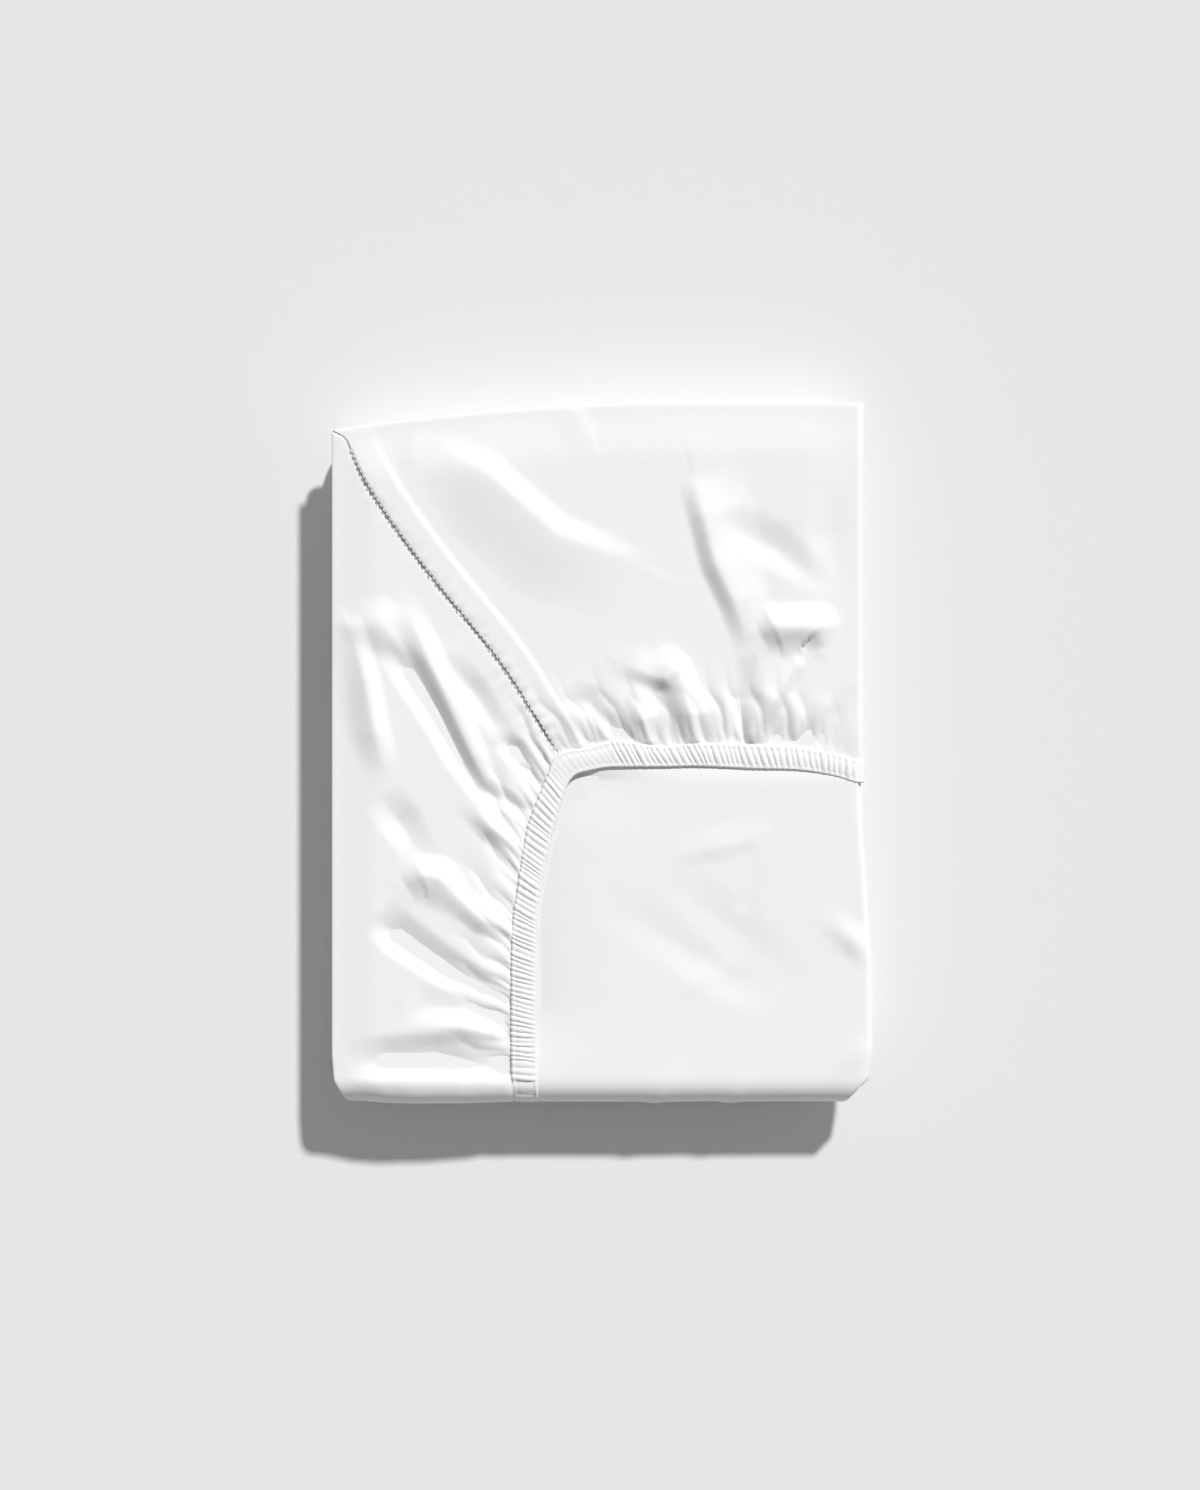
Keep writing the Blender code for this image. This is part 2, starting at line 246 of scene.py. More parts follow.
# The skirts' edge and the band's free edge, from the front, round the corner, to the right side
elasticLook = {
    "skirtEdge": [
        (-43.2, -157.4), (-43.2, -119), (-42.7, -85), (-39.6, -61), (-35.6, -37), (-31.2, -24.5),
        (-26.4, -12.5), (-20.8, -1), (-6.2, 2.2), (4.8, 5.2), (13, 4.6), (29, 2.4), (46.6, 3.8),
        (70.6, 3.2), (92, 2.2), (110, -0.8), (121.9, -3.8),
    ],
    "freeEdge": [
        (-31.4, -157.4), (-31.9, -118), (-31.6, -84), (-28.6, -60), (-23.6, -38), (-19.4, -24),
        (-16.6, -15.5), (-12.6, -10.8), (-5.8, -8.7), (2.5, -7.2), (12, -7), (28, -6.9),
        (47, -6.6), (71, -7.8), (93, -8.4), (110, -10.9), (121.9, -14.5),
    ],
    "cornerPoint": 7,
    "width": 12,
    "thickness": 0.5,
    "stations": (1100, 15),  # along, across
    "ribSpacing": 2.7,
    "ribHeight": 0.85,
    "sideRibHeight": 0.6,
    "ribWander": (0.9, 9, 41),  # millimetres, length, seed
    "ribShake": (0.25, 4, 42),
    "ribSeeds": {"top": 43, "front": 44, "side": 45},
    "quietCorner": {"left": (0.15, -8, -14), "right": (20, 30)},  # hardly ribbed at the corner
    "ribbedWidth": (0.1, 0.82, 0.9),
    "sway": 0.35,
    "lift": 0.25,
    "swell": 0.5,
    "piping": {"height": 0.55, "at": 0.95, "width": 0.045},
    "stitchRow": {"height": 0.3, "at": 0.17, "width": 0.05},
    "edgeTuck": (0.6, 0.08),
    "wrapStep": 0.3,
    "frontStep": 0.45,
    "frontHidden": 30,  # how far the band goes on below the front bend
}
seamLine = [
    (-20.8, -1), (-29.3, 13.7), (-34.6, 21.8), (-43.2, 35.8), (-56.6, 54), (-80.6, 83.3),
    (-100.8, 110.6), (-113.3, 130.3), (-123.4, 151),
]

# The folds that stand in the skirts: lines of (x, y, height, width to the left, width to the right)
pocketLook = {
    "foldStrength": 1.45,
    "creases": [
        [(18, 90, 0.2, 30, 9), (-22, 105, 2.2, 34, 10), (-54, 133, 2.4, 34, 10), (-80, 147, 0.3, 20, 9)],
        [(44, 132, 0.3, 24, 8), (48.5, 114, 2.6, 26, 8), (54.7, 90, 3.0, 24, 8), (63, 73, 2.6, 18, 8),
         (70.6, 52, 0.4, 14, 8)],
        [(57, 90, 0, 12, 8), (66, 105, -1.2, 14, 10), (82, 98, -1.6, 14, 10), (103, 83, -0.4, 8, 8)],
        [(113, 132, 0, 14, 12), (111, 104, -1.4, 15, 14), (115, 75, -0.2, 12, 12)],
        [(76, 56, 0.6, 7, 12), (83, 60, 3.6, 12, 15), (104, 60, 3.8, 12, 14), (105, 50, 0.5, 7, 7)],
        [(92, 42, 1.4, 6, 12), (82, 26, 2.6, 6, 14), (73, 9, 1.4, 6, 9)],
        [(69, 45, 0.4, 9, 6), (66, 26, -2.2, 12, 7), (64, 8, -1.0, 7, 5)],
        [(31, 47, 0.6, 7, 9), (36, 40, 2.8, 8, 12), (43, 18, 2.6, 9, 9), (44, 6, 0.8, 5, 6)],
        [(10, 42, 0.3, 12, 7), (30, 35, 2.4, 14, 7), (34, 32, 0.4, 7, 5)],
        [(16, 27, 0.8, 8, 6), (20, 16, 2.2, 8, 6), (22, 6, 0.8, 5, 4)],
        [(-18, 28, 0.4, 9, 7), (-6, 24, -1.6, 9, 7), (10, 6, -1.4, 6, 5)],
        [(-20, 18, 0.2, 7, 6), (-4, 2, -1.2, 6, 5)],
        [(86, 24, 0.3, 7, 8), (84, 6, -1.6, 6, 6)],
        [(108, 22, 0.3, 9, 8), (95, 4, -1.8, 7, 6)],
        [(121, 32, 0.3, 9, 8), (112, 18, -1.4, 8, 7), (106, 6, -1.4, 6, 6)],
        [(-6, 152, 0.3, 12, 5), (-12, 162, 1.2, 14, 6)],
        [(-92, 142, 0.6, 8, 5), (-86, 160, 1.8, 9, 4)],
        [(-121, 59, 1.6, 8, 12), (-114, 35, 2.6, 8, 16), (-109, 10, 2.2, 8, 14), (-105, -8, 0.3, 8, 10)],
        [(-121, 60, 0.8, 12, 9), (-106, 61, 2.2, 14, 16), (-96, 48, 0.4, 9, 9)],
        [(-105, 53, 0.2, 9, 7), (-93, 38, -2.2, 11, 9), (-80, 19, -2.4, 11, 9), (-68, -3, -2.2, 10, 8),
         (-59, -18, -1.4, 8, 6), (-36, -28, -0.9, 5, 5)],
        [(-97, 73, 0.2, 9, 8), (-86, 51, 1.8, 9, 8), (-75, 26, 2.2, 9, 8), (-62, -2, 2.0, 8, 7),
         (-55, -16, 0.4, 6, 6)],
        [(-76, 47, 0.2, 8, 7), (-62, 29, -1.6, 9, 8), (-49, 10, -0.5, 7, 6)],
        [(-49, 8, 0.3, 7, 7), (-42, 1, -2.6, 7, 7), (-30, -15, -1.6, 5, 5)],
        [(-107, -20, 0, 12, 10), (-97, -34, -1.8, 12, 10), (-86, -51, -0.2, 9, 9)],
        [(-62, -26, 0.4, 9, 8), (-53, -36, 2.2, 8, 8), (-40, -46, 0.6, 6, 6)],
        [(-94, -64, 0.4, 9, 14), (-86, -59, 2.8, 11, 16), (-79, -60, 2.8, 11, 16), (-67, -72, 0.8, 9, 10)],
        [(-69, -70, 0.5, 8, 8), (-57, -80, 2.4, 8, 8), (-45, -87, 0.8, 5, 5)],
        [(-109, -79, 0.1, 12, 9), (-99, -88, -2.4, 13, 10), (-73, -106, -2.4, 11, 9), (-57, -114, -1.9, 9, 7),
         (-43, -121, -0.8, 5, 5)],
        [(-94, -120, 0.1, 12, 9), (-62, -124, -2.0, 12, 8), (-50, -130, -1.2, 7, 6), (-44, -137, -0.6, 4, 4)],
        [(-99, -134, 0.1, 9, 8), (-67, -132, 1.6, 9, 8), (-53, -135, 0.6, 6, 6)],
        [(-126, -151, 0.2, 12, 9), (-104, -149, -2.6, 14, 8), (-80, -149, -2.6, 14, 8), (-45, -151, -1.2, 8, 6)],
        [(-124, -162, 0.9, 5, 4), (-94, -159, 1.3, 7, 5), (-66, -160.5, 1.2, 7, 5), (-45, -158, 0.6, 5, 4)],
    ],
    # small folds beside the elastic: size, height, from, to, seed
    "gathers": [(3.0, 0.55, 0.0, 6.0, 11), (6.5, 1.0, 2.0, 20.0, 12), (13.0, 1.7, 6.0, 46.0, 13)],
    "gatherWander": {"height": 2.2, "size": 14, "seed": 5, "from": 2, "to": 30},
    "seamPucker": {"height": 1.0, "size": 6.5, "seed": 71, "reach": (13, 7)},
    "seamDip": (0.4, 1.6),
    "allowance": {"height": 0.8, "from": 11.5, "to": 14.0},
    "puff": (1.6, 1.9),  # left skirt, back skirt
    "puffReach": 18,
    "heldReach": {"left": 22, "back": 26, "right": 26},  # the folds die away before an edge
    "stations": {"left": 190, "back": 170, "seam": 96},
    "easing": 1.6,
}


def coons(bottom, top, left, right):  # fills four matching border lines
    t = np.linspace(0, 1, len(left))[:, None, None]
    s = np.linspace(0, 1, len(bottom))[None, :, None]
    lowCorners = (1 - s) * (1 - t) * bottom[0] + s * (1 - t) * bottom[-1]
    highCorners = (1 - s) * t * top[0] + s * t * top[-1]
    between = (1 - t) * bottom[None] + t * top[None] + (1 - s) * left[:, None] + s * right[:, None]
    return between - (lowCorners + highCorners)


def eased(points):  # more stations near the elastic
    last = len(points) - 1
    return atPlaces(points, np.linspace(0, 1, last + 1) ** pocketLook["easing"] * last)


cornerAt = elasticLook["cornerPoint"]
cornerX, cornerY = elasticLook["skirtEdge"][cornerAt]
frontEdge = smoothLine(elasticLook["skirtEdge"][: cornerAt + 1][::-1], pocketLook["stations"]["left"])
rightEdge = smoothLine(elasticLook["skirtEdge"][cornerAt:], pocketLook["stations"]["back"])
seam = smoothLine(seamLine, pocketLook["stations"]["seam"])


def pocketRise(x, y, along, away, side):  # side 0 is the left skirt, 1 the back skirt
    look = pocketLook
    rise = look["foldStrength"] * creaseRise(x, y, look["creases"])
    bend = look["gatherWander"]
    wander = bend["height"] * lineNoise(away / bend["size"] + 7, bend["seed"])
    wander = wander * smoothStep(away, bend["from"], bend["to"])
    for size, height, start, end, seed in look["gathers"]:
        fade = 0.35 + 0.65 * smoothStep(away, 0, start + 2)
        fade = fade * (1 - smoothStep(away, start + 1, end))
        rise = rise + height * fade * (puckers(along + wander, size, seed + 20 * side) - 0.5)
    fromCorner = np.hypot(x - cornerX, y - cornerY)
    nearSeam = awayFrom(x, y, seam)
    pucker = look["seamPucker"]
    seamFade = smoothStep(nearSeam, pucker["reach"][side], 0.5) * smoothStep(fromCorner, 3, 14)
    ridges = puckers(fromCorner, pucker["size"], pucker["seed"]) - 0.55
    rise = rise + pucker["height"] * seamFade * ridges
    dip, dipWidth = look["seamDip"]
    rise = rise - dip * np.exp(-((nearSeam / dipWidth) ** 2))
    if side == 1:
        step = look["allowance"]
        ends = smoothStep(fromCorner, 2, 10)
        rise = rise + step["height"] * (1 - smoothStep(nearSeam, step["from"], step["to"])) * ends
    return rise


def awayFrom(x, y, line):
    nearest = np.full(x.shape, 1e9)
    for point in line:
        nearest = np.minimum(nearest, np.hypot(x - point[0], y - point[1]))
    return nearest


def skirtHeight(flat, edge, side, held):
    x, y = flat[..., 0], flat[..., 1]
    along = np.broadcast_to(runOf(edge)[None], x.shape)
    away = np.hypot(x - edge[None, :, 0], y - edge[None, :, 1])
    puff = pocketLook["puff"][side] * smoothStep(away, 0, pocketLook["puffReach"]) * held
    h = puff + pocketRise(x, y, along, away, side) * (0.25 + 0.75 * held)
    return h * (0.35 + 0.65 * smoothStep(away, 0, 2.5)), along, away


def seamBorder(leftTop):
    return eased(np.vstack([seam, np.linspace(seam[-1], leftTop, 5)[1:]]))


def leftSkirt(leftTop):  # rows away from the elastic, columns from the corner to the front
    border = seamBorder(leftTop)
    rows = len(border)
    outer = np.linspace(leftTop, (p["leftFold"], p["frontBend"]), len(frontEdge))
    flat = coons(frontEdge, outer, border, eased(np.linspace(frontEdge[-1], outer[-1], rows)))
    x, y = flat[..., 0], flat[..., 1]
    held = smoothStep(x, p["leftFold"] + 0.2, p["leftFold"] + pocketLook["heldReach"]["left"])
    h, along, away = skirtHeight(flat, frontEdge, 0, held)
    bend = np.arange(1.2, halfTurn + 8, 1.3)
    more = np.concatenate([bend, np.linspace(halfTurn + 20, stripEnd, 60)])
    fade = 1 - smoothStep(more, 2, 13)
    ripple = puckers(along[:, -1:] + more, 5.0, 33) * np.exp(-away[:, -1:] / 9) * 0.6
    gridX = np.hstack([x, np.repeat(x[:, -1:], len(more), 1)])
    gridV = np.hstack([p["frontBend"] - y, np.broadcast_to(more, (rows, len(more)))])
    gridH = np.hstack([h, h[:, -1:] * fade + ripple * fade])
    edgeX, edgeV, edgeH, radius = gridX[-1:], gridV[-1:], gridH[-1:], p["hemTurn"]
    for angle in np.linspace(0, np.pi, p["hemTurnSteps"])[1:]:
        high = edgeH * (1 + math.cos(angle)) / 2
        gridX = np.vstack([gridX, edgeX - radius * math.sin(angle)])
        gridV = np.vstack([gridV, edgeV])
        gridH = np.vstack([gridH, high - radius + radius * math.cos(angle)])
    for inset in p["hemInsets"]:
        gridX = np.vstack([gridX, edgeX + inset])
        gridV = np.vstack([gridV, edgeV])
        gridH = np.vstack([gridH, 0 * edgeH - 1.0])
    return placed(gridX, gridV, gridH), clothRun(gridX, gridV)


def wrapPath(angles):  # x from the right fold, and h, round the side and into the tuck
    radius = sideWrap["radius"]
    x = np.concatenate([radius * np.sin(angles), sideWrap["tuckX"]])
    return x, np.concatenate([radius * np.cos(angles) - radius, sideWrap["tuckH"]])


def backSkirt(leftTop):  # rows away from the elastic, columns from the seam to the right side
    border = seamBorder(leftTop)
    topX = np.linspace(p["leftFold"], p["rightFold"], len(rightEdge))
    top = np.stack([topX, p["backCrest"] - cornerDip(topX)], 1)
    flat = coons(rightEdge, top, border, eased(np.linspace(rightEdge[-1], top[-1], len(border))))
    x, y = flat[..., 0], flat[..., 1]
    reach = pocketLook["heldReach"]
    held = smoothStep(top[None, :, 1] - y, 0.2, reach["back"])
    h = skirtHeight(flat, rightEdge, 1, held)[0]
    h = h * (0.3 + 0.7 * smoothStep(x, p["rightFold"] + 1, p["rightFold"] - reach["right"]))
    wrapX, wrapH = wrapPath(np.radians(np.linspace(0, sideWrap["degrees"], 12)[1:]))
    flatten = 1 - np.clip(wrapH / -5.0, 0, 1)
    gridX = np.hstack([x, p["rightFold"] + wrapX[None] + 0 * y[:, -1:]])
    gridY = np.hstack([y, np.repeat(y[:, -1:], len(wrapX), 1)])
    gridH = np.hstack([h, wrapH[None] + h[:, -1:] * flatten])
    inside, radius = sideWrap["insideShare"], sideWrap["radius"]
    inX = np.concatenate([x[-1], p["rightFold"] + inside * wrapX])[None]
    insideWrapH = inside * (wrapH + radius) - radius
    inH = np.concatenate([0 * x[-1] + sideWrap["insideHeight"], insideWrapH])[None]
    edgeX, edgeY, edgeH = gridX[-1:], gridY[-1:], gridH[-1:]
    for angle in np.linspace(0, np.pi, p["hemTurnSteps"])[1:]:
        share = (1 - math.cos(angle)) / 2
        gridX = np.vstack([gridX, edgeX * (1 - share) + inX * share])
        gridY = np.vstack([gridY, edgeY + p["hemTurn"] * math.sin(angle)])
        gridH = np.vstack([gridH, edgeH * (1 - share) + inH * share])
    for inset in p["hemInsets"]:
        gridX = np.vstack([gridX, inX])
        gridY = np.vstack([gridY, edgeY - inset])
        gridH = np.vstack([gridH, inH])
    points = placed(gridX, p["frontBend"] - gridY, gridH)
    points[..., 0] -= rightDrift(gridX, p["frontBend"] - gridY)  # the flap doesn't flare with the bed
    return points, clothRun(gridX, gridY)


leftTop = np.array([p["leftFold"], p["backCrest"] - cornerDip(p["leftFold"])])
pocketGrids = [leftSkirt(leftTop), backSkirt(leftTop)]
pocket = clothObject("gathered_corner", pocketGrids, p["clothThickness"])
print("gathered corner made")

# The folded strip: doubled layers nested back and forth. Straights are (from, to, layer, step),
# turns are (centre, layer, radius, side, first up or down, steps).
stripLook = {
    "fine": 2.6,
    "coarse": 24,
    "rowsOnTop": (12, 66),
    "rowsBelow": (13, 22, 11, 20),
    "endStagger": (1.4, 1.45, 1.2, 60),
    "foldWander": {"size": 0.35, "length": 38, "seed": 8},
    "layerWave": {"height": 0.12, "length": 30, "seed": 9},
}
panelLook = {
    "creases": [
        [(-7, -67, 0.1, 14, 12), (57, -106, -1.5, 18, 14), (80, -118, -0.1, 12, 12)],
        [(27, -60, 0.1, 16, 12), (60, -86, -1.4, 18, 14), (90, -112, -0.1, 12, 12)],
        [(71, -42, 0.6, 5, 12), (52, -47, 0.9, 5, 12), (34, -52, 0.1, 4, 10)],
        [(75, -46, 0.1, 5, 6), (68, -72, -0.7, 6, 8)],
        [(57, -106, 0.6, 6, 12), (38, -114, 0.1, 6, 9)],
        [(104, -80, 0.2, 9, 8), (119, -92, 2.0, 9, 9), (128, -100, 1.4, 8, 9)],
        [(131, -130, 1.0, 9, 9), (122, -142, 1.4, 9, 9), (110, -153, 0.2, 8, 8)],
        [(36, -150, 0.1, 6, 6), (27, -166, 0.8, 7, 6)],
        [(69, -154, 0.1, 6, 6), (65, -167, 0.8, 7, 6)],
    ],
    "hollow": 3.2,  # how far the bed sinks beside the elastic
    "hollowReach": 15.0,
    "hollowShare": 0.9,
    "cornerHollow": (1.4, -2, -14, 26, 16),  # depth, x, y, half widths
    "lift": 1.3,
}


def stripPath():
    left, right, pitch = p["leftFold"], p["rightFold"], p["pitch"]
    thin, fat, coarse = p["thinRadius"], p["fatRadius"], stripLook["coarse"]
    stretches = [
        (left + 1, -60, 1, 9),
        (-57, right, 1, stripLook["fine"]),
        (right, 2.5, fat, 1, 1, 9),
        (right, left + 3, 4, coarse),
        (left + 3, 4.5, thin, -1, 1, 5),
        (left + 3, right - 1, 5, coarse),
        (right - 1, 5.5, thin, 1, 1, 5),
        (right - 1, left + fat, 6, coarse),
        (left + fat, 4.5, fat, -1, -1, 9),
        (left + fat, right - 2, 3, coarse),
        (right - 2, 2.5, thin, 1, -1, 5),
        (right - 2, left + 4, 2, coarse),
    ]
    path = []
    for stretch in stretches:
        if len(stretch) == 4:
            start, end, layer, step = stretch
            for x in np.linspace(start, end, max(2, int(abs(end - start) / step) + 1)):
                path.append((x, -layer * pitch))
            continue
        centre, layer, radius, side, down, steps = stretch
        for angle in np.linspace(0, np.pi, steps + 1)[1:-1]:
            h = -layer * pitch + down * radius * math.cos(angle)
            path.append((centre + side * radius * math.sin(angle), h))
    return np.array(path)


def stripRows():  # places along the strip, close together where the bed shows
    top, shown = stripLook["rowsOnTop"]
    front, middle, back, last = stripLook["rowsBelow"]
    return np.concatenate([
        np.linspace(p["frontBend"] - p["backCrest"] + 1, -172, top),
        np.linspace(-169, -2.6, shown),
        np.linspace(0, halfTurn, front),
        np.linspace(halfTurn, backBendStart, middle)[1:],
        np.linspace(backBendStart, backBendEnd, back)[1:],
        np.linspace(backBendEnd, stripEnd, last)[1:],
    ])


def bedHeight(gridX, gridY, gridH):  # the bed's own folds, and its hollow beside the elastic
    look = panelLook
    edgeX, edgeY = smoothLine(elasticLook["freeEdge"][: cornerAt + 2], 80).T
    beside = np.where(gridY > -9, 1e3, gridX - np.interp(gridY, edgeY, edgeX))
    sunk = look["hollow"] * np.exp(-np.clip(beside, 0, None) / look["hollowReach"])
    depth, x, y, wide, long = look["cornerHollow"]
    sunk = sunk * smoothStep(gridY, -156, -120)
    sunk = sunk + depth * np.exp(-np.hypot((gridX - x) / wide, (gridY - y) / long) ** 2)
    fold = creaseRise(gridX, gridY, look["creases"])
    fold = fold * smoothStep(gridX, p["rightFold"] + 2.6, p["rightFold"] - 6)
    opened = smoothStep(gridY, -3, -14) * smoothStep(gridX, -46, -38)
    return gridH + 0.3 + opened * (look["lift"] + fold - sunk * look["hollowShare"])


def stripGrid():
    path = stripPath()
    tangent = np.gradient(path, axis=0)
    tangent /= np.linalg.norm(tangent, axis=1)[:, None]
    normal = np.stack([-tangent[:, 1], tangent[:, 0]], 1)
    outer = path + normal * p["plySpread"]
    inner = (path - normal * p["plySpread"])[::-1]
    line = np.vstack([outer, (path[-1] + tangent[-1] * p["plySpread"])[None], inner])
    v = stripRows()
    gridX, gridH = np.repeat(line[:, :1], len(v), 1), np.repeat(line[:, 1:], len(v), 1)
    gridV = np.repeat(v[None], len(line), 0)
    gridV = gridV + np.where(gridV < 0, cornerDip(gridX) * smoothStep(gridV, -120, -310), 0)
    size, rate, uneven, length = stripLook["endStagger"]
    stagger = size * (1 - np.cos(gridH * rate)) + uneven * lineNoise(gridX / 60 + gridH * 3, 3)
    gridV = gridV - np.where(gridV > backBendEnd, stagger * smoothStep(gridV, stripEnd - length, stripEnd), 0)
    index = np.arange(len(line))[:, None]
    bend, wave = stripLook["foldWander"], stripLook["layerWave"]
    inward = np.clip((np.abs(gridX + 3.6) - 100) / 25, 0, 1)
    shift = bend["size"] * (1 + lineNoise(gridV / bend["length"] + index * 0.11, bend["seed"]))
    gridX = gridX - np.sign(gridX) * inward * shift
    ripple = wave["height"] * lineNoise(gridV / wave["length"] + gridX / 47 + index * 0.13, wave["seed"])
    gridH = gridH + ripple * (gridH > -9)
    shown = (index < len(path)) & (gridH > -1.6) & (gridV < 12)
    gridH = np.where(shown, bedHeight(gridX, p["frontBend"] - gridV, gridH), gridH)
    return placed(gridX, gridV, gridH), clothRun(gridX, gridV)


folded = clothObject("folded_sheet", [stripGrid()], p["clothThickness"])
print("folded sheet made")


def bump(w, look):  # a narrow ridge along the band
    return look["height"] * np.exp(-(((w - look["at"]) / look["width"]) ** 2))


def bandEdges():  # matched points on the band's two long edges
    count, fine = elasticLook["stations"][0], 400
    skirt = atPlaces(smoothLine(elasticLook["skirtEdge"], fine), np.linspace(0, fine - 1, count))
    free = smoothLine(elasticLook["freeEdge"], fine)
    freeX, freeY = elasticLook["freeEdge"][cornerAt]
    freeCorner = np.argmin(np.hypot(free[:, 0] - freeX, free[:, 1] - freeY))
    corner = np.argmin(np.hypot(skirt[:, 0] - cornerX, skirt[:, 1] - cornerY))
    place = np.interp(np.arange(count), [0, corner, count - 1], [0, freeCorner, fine - 1])
    return skirt, atPlaces(free, place), corner


def bandGrid():
    look = elasticLook
    skirt, free, corner = bandEdges()
    run = runOf(skirt)
    w = np.linspace(0, 1, look["stations"][1])[None, :]
    wander, wanderLength, wanderSeed = look["ribWander"]
    shake, shakeLength, shakeSeed = look["ribShake"]
    ribRun = run[:, None] + wander * lineNoise(run[:, None] / wanderLength, wanderSeed) * (w - 0.5)
    ribRun = ribRun + shake * lineNoise(run[:, None] / shakeLength + w * 3, shakeSeed)
    ribs = puckers(ribRun, look["ribSpacing"], look["ribSeeds"]["top"])
    fromCorner = run - run[corner]
    least, leftFrom, leftTo = look["quietCorner"]["left"]
    loud = smoothStep(fromCorner, leftFrom, leftTo)
    loud = loud + smoothStep(fromCorner, *look["quietCorner"]["right"])
    ribbed = (least + (1 - least) * loud)[:, None]
    rise, fallFrom, fallTo = look["ribbedWidth"]
    body = smoothStep(w, 0, rise) * (1 - smoothStep(w, fallFrom, fallTo))
    piping, stitchDip = bump(w, look["piping"]), bump(w, look["stitchRow"])
    h = look["lift"] + look["ribHeight"] * (ribs - 0.35) * ribbed * body + piping - stitchDip
    h = h + look["swell"] * np.sin(np.pi * w)
    outward = (free - skirt) / np.linalg.norm(free - skirt, axis=1)[:, None]
    tuck, tuckWidth = look["edgeTuck"]
    across = look["sway"] * (ribs - 0.5) * ribbed * (w - 0.5) * 2
    across = across - tuck * (1 - smoothStep(w, 0, tuckWidth))
    flat = skirt[:, None] * (1 - w[..., None]) + free[:, None] * w[..., None]
    flat = flat + outward[:, None] * across[..., None]
    x, y = flat[..., 0], flat[..., 1]
    # round the front bend and a little way below it
    front = np.arange(halfTurn + look["frontHidden"], 0.2, -look["frontStep"])[:, None]
    frontRibs = puckers(-front - 30 + 0 * w, look["ribSpacing"], look["ribSeeds"]["front"])
    frontH = look["lift"] + look["ribHeight"] * (frontRibs - 0.35) * body + piping - stitchDip
    # round the right side
    angles = np.radians(np.arange(4, 106, 4))
    sideX, sideH = wrapPath(angles)
    swell = np.concatenate([1 - 0.4 * angles / angles[-1], [0.4, 0.2, 0.1, 0.1]])[:, None]
    step = look["wrapStep"]
    places = np.cumsum(np.full(len(sideX), step))[:, None] + 0 * w
    sideRibs = puckers(places, look["ribSpacing"], look["ribSeeds"]["side"])
    sideRise = (look["sideRibHeight"] * (sideRibs - 0.35) * body + piping) * swell
    frontX, sideY = np.repeat(x[:1], len(front), 0), np.repeat(y[-1:], len(sideX), 0)
    gridX = np.vstack([frontX, x, p["rightFold"] + sideX[:, None] + 0 * w])
    gridV = np.vstack([front + 0 * w, p["frontBend"] - y, p["frontBend"] - sideY])
    points = placed(gridX, gridV, np.vstack([frontH, h, sideH[:, None] + sideRise]))
    points[..., 0] -= np.where(gridX > 60, rightDrift(gridX, gridV), 0)
    runs = np.concatenate([-front[:, 0], run, run[-1] + np.arange(len(sideX)) * step])[:, None]
    return points, clothRun(runs + 0 * w, w * look["width"] + 0 * runs)


band = clothObject("elastic_band", [bandGrid()], elasticLook["thickness"])
print("elastic band made")

stitchLook = {
    "spacing": 2.7,
    "length": 1.9,
    "thickness": 0.45,
    "lift": 0.25,
    "sides": 6,
    "rings": ((-0.5, 0.25), (-0.3, 1), (0.3, 1), (0.5, 0.25)),  # share of length, share of thickness
    "ends": (4, 5),  # no stitch this near the seam's ends
    "surfaceReach": 1.8,
    "usualHeight": 33.5,
}


def seamStitches():
    look, sides = stitchLook, stitchLook["sides"]
    places = np.array([vertex.co[:] for vertex in pocket.data.vertices]) / mm
    top = places[places[:, 2] > 30]
    line = smoothLine(seamLine, 900)
    run = runOf(line)
    mesh = bmesh.new()
    mesh.loops.layers.uv.new("clothRun")
    for at in np.arange(look["ends"][0], run[-1] - look["ends"][1], look["spacing"]):
        middle, beyond = atPlaces(line, [at, at + 1], run)
        ahead = (beyond - middle) / np.linalg.norm(beyond - middle)
        side = np.array([-ahead[1], ahead[0]])
        away = np.hypot(top[:, 0] - middle[0], top[:, 1] - middle[1])
        near = top[away < look["surfaceReach"]]
        z = near[:, 2].max() + look["lift"] if len(near) else look["usualHeight"]
        rings = []
        for share, size in look["rings"]:
            ring = []
            for number in range(sides):
                angle, radius = number * 2 * math.pi / sides, size * look["thickness"] / 2
                spot = middle + ahead * share * look["length"] + side * math.cos(angle) * radius
                up = z + math.sin(angle) * radius
                ring.append(mesh.verts.new((spot[0] * mm, spot[1] * mm, up * mm)))
            rings.append(ring)
        for a, b in zip(rings, rings[1:]):
            for number in range(sides):
                after = (number + 1) % sides
                mesh.faces.new((a[number], a[after], b[after], b[number]))
        mesh.faces.new(rings[0])
        mesh.faces.new(rings[-1])
    bmesh.ops.recalc_face_normals(mesh, faces=mesh.faces)
    return linkedObject("seam_stitches", mesh)


stitches = seamStitches()
print("seam stitches made")

clothLook = {
    "colour": (0.86, 0.865, 0.875, 1),
    "roughness": 0.85,
    "crumpleDepth": 0.00016,
    "threadDepth": 0.00003,
}
edgingLook = {
    "colour": (0.86, 0.865, 0.875, 1),
    "roughness": 0.8,
    "crumpleDepth": 0.0001,
    "threadDepth": 0.00004,
}
weaveLook = {
    "threadSpacing": 0.42,
    "waveTurn": 3.14,
    "waveDistortion": 1.2,
    "startScales": {"threadScale": 2400.0, "crumpleScale": 130.0},
    "crumpleDetail": 5,
    "crumpleRoughness": 0.55,
    "toneScale": 18,
    "toneShade": 0.975,
    "roughnessSpread": 0.06,
    "crumpleStrength": 0.6,
    "threadStrength": 0.35,
    "sheen": 0.12,
    "specular": 0.25,
}


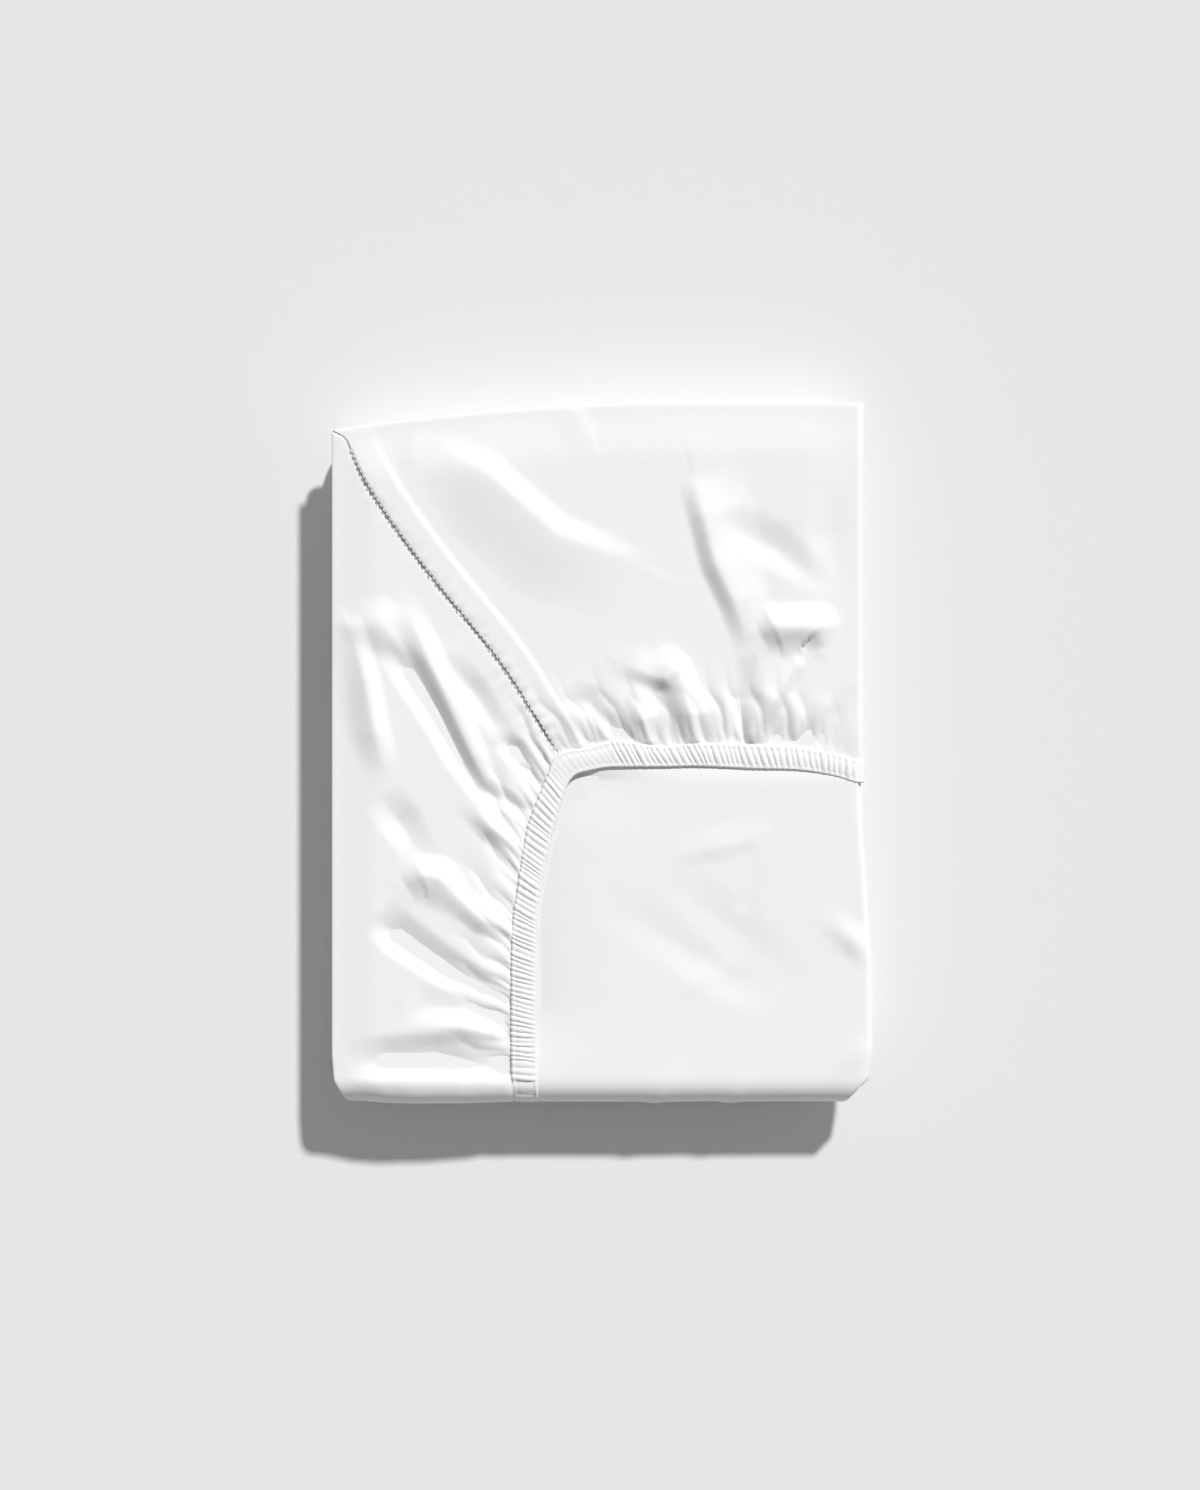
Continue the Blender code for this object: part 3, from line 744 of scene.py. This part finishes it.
def weaveGroup():  # crossed threads, fine crumple and a broad change of tone
    look = weaveLook
    group = bpy.data.node_groups.new("percaleWeave", "ShaderNodeTree")
    for name, start in look["startScales"].items():
        socket = group.interface.new_socket(name=name, in_out="INPUT", socket_type="NodeSocketFloat")
        socket.default_value = start
    for name in ("threads", "crumple", "tone"):
        group.interface.new_socket(name=name, in_out="OUTPUT", socket_type="NodeSocketFloat")
    nodes, links = group.nodes, group.links
    entry, leaving = nodes.new("NodeGroupInput"), nodes.new("NodeGroupOutput")
    uv, place = nodes.new("ShaderNodeUVMap"), nodes.new("ShaderNodeTexCoord")
    uv.uv_map = "clothRun"
    both = nodes.new("ShaderNodeMath")
    both.operation = "MAXIMUM"
    for number, direction in enumerate(("X", "Y")):
        wave = nodes.new("ShaderNodeTexWave")
        wave.bands_direction = direction
        wave.inputs["Distortion"].default_value = look["waveDistortion"]
        links.new(uv.outputs["UV"], wave.inputs["Vector"])
        links.new(entry.outputs["threadScale"], wave.inputs["Scale"])
        links.new(wave.outputs["Fac"], both.inputs[number])
    links.new(both.outputs[0], leaving.inputs["threads"])
    noise = nodes.new("ShaderNodeTexNoise")
    noise.inputs["Detail"].default_value = look["crumpleDetail"]
    noise.inputs["Roughness"].default_value = look["crumpleRoughness"]
    links.new(place.outputs["Object"], noise.inputs["Vector"])
    links.new(entry.outputs["crumpleScale"], noise.inputs["Scale"])
    links.new(noise.outputs["Fac"], leaving.inputs["crumple"])
    broad = nodes.new("ShaderNodeTexNoise")
    broad.inputs["Scale"].default_value = look["toneScale"]
    links.new(place.outputs["Object"], broad.inputs["Vector"])
    links.new(broad.outputs["Fac"], leaving.inputs["tone"])
    return group


weave = weaveGroup()


def bumpOf(nodes, strength, depth):
    node = nodes.new("ShaderNodeBump")
    node.inputs["Strength"].default_value = strength
    node.inputs["Distance"].default_value = depth
    return node


def clothMaterial(name, look):
    made = bpy.data.materials.new(name)
    made.use_nodes = True
    nodes, links = made.node_tree.nodes, made.node_tree.links
    shader = nodes["Principled BSDF"]
    shader.inputs["Sheen Weight"].default_value = weaveLook["sheen"]
    shader.inputs["Specular IOR Level"].default_value = weaveLook["specular"]
    group = nodes.new("ShaderNodeGroup")
    group.node_tree = weave
    threadScale = 1000 / weaveLook["threadSpacing"] / weaveLook["waveTurn"]
    group.inputs["threadScale"].default_value = threadScale
    ramp = nodes.new("ShaderNodeValToRGB")
    shaded = tuple(value * weaveLook["toneShade"] for value in look["colour"][:3])
    ramp.color_ramp.elements[0].color = shaded + (1,)
    ramp.color_ramp.elements[1].color = look["colour"]
    links.new(group.outputs["tone"], ramp.inputs["Fac"])
    links.new(ramp.outputs["Color"], shader.inputs["Base Color"])
    rough = nodes.new("ShaderNodeMapRange")
    rough.inputs["To Min"].default_value = look["roughness"] - weaveLook["roughnessSpread"]
    rough.inputs["To Max"].default_value = look["roughness"] + weaveLook["roughnessSpread"]
    links.new(group.outputs["crumple"], rough.inputs["Value"])
    links.new(rough.outputs["Result"], shader.inputs["Roughness"])
    crumpled = bumpOf(nodes, weaveLook["crumpleStrength"], look["crumpleDepth"])
    links.new(group.outputs["crumple"], crumpled.inputs["Height"])
    threads = bumpOf(nodes, weaveLook["threadStrength"], look["threadDepth"])
    links.new(group.outputs["threads"], threads.inputs["Height"])
    links.new(crumpled.outputs["Normal"], threads.inputs["Normal"])
    links.new(threads.outputs["Normal"], shader.inputs["Normal"])
    return made


percale = clothMaterial("whitePercale", clothLook)
elasticCloth = clothMaterial("gatheredEdging", edgingLook)
for piece, look, slotName in (
    (folded, percale, "cotton_percale"),
    (pocket, percale, "cotton_percale"),
    (band, elasticCloth, "elastic_band"),
    (stitches, percale, "cotton_percale"),
):
    piece.data.materials.append(look)
    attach(piece, "root")
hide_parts("sheet_cloth")
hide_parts("sheet_cloth")
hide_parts("elastic_edging")
print("materials made")

studio = {
    "floorSize": 6,
    "floorColour": (0.775, 0.78, 0.79, 1),
    "floorRoughness": 0.9,
    "fillColour": (0.97, 0.985, 1.0, 1),
    "fill": 0.30,
    "sun": 3.5,
    "sunSize": 4.0,
    "sunHeight": 40,
    "sunTurn": 28,
    "lens": 100,
    "sensorWidth": 36,
    "cameraPlace": (-0.001, 0.0036, 2.02),
}
bpy.ops.object.select_all(action="DESELECT")
bpy.ops.mesh.primitive_plane_add(size=studio["floorSize"], location=(0, 0, 0))
floor = bpy.context.object
floor.name = "floor"
floorLook = bpy.data.materials.new("paleFloor")
floorLook.use_nodes = True
floorShader = floorLook.node_tree.nodes["Principled BSDF"]
floorShader.inputs["Base Color"].default_value = studio["floorColour"]
floorShader.inputs["Roughness"].default_value = studio["floorRoughness"]
floor.data.materials.append(floorLook)

world = bpy.data.worlds.new("studioFill")
bpy.context.scene.world = world
world.use_nodes = True
background = world.node_tree.nodes["Background"]
background.inputs["Color"].default_value = studio["fillColour"]
background.inputs["Strength"].default_value = studio["fill"]
sunData = bpy.data.lights.new("keyLight", "SUN")
sunData.energy = studio["sun"]
sunData.angle = math.radians(studio["sunSize"])
keyLight = bpy.data.objects.new("keyLight", sunData)
sunTilt, sunTurn = math.radians(studio["sunHeight"] - 90), math.radians(-studio["sunTurn"])
keyLight.rotation_euler = (sunTilt, 0, sunTurn)
bpy.context.scene.collection.objects.link(keyLight)

cameraData = bpy.data.cameras.new("camera")
cameraData.lens = studio["lens"]
cameraData.sensor_width = studio["sensorWidth"]
camera = bpy.data.objects.new("camera", cameraData)
camera.location = studio["cameraPlace"]
bpy.context.scene.collection.objects.link(camera)
bpy.context.scene.camera = camera
bpy.context.scene.view_settings.view_transform = "Standard"
print("studio made")
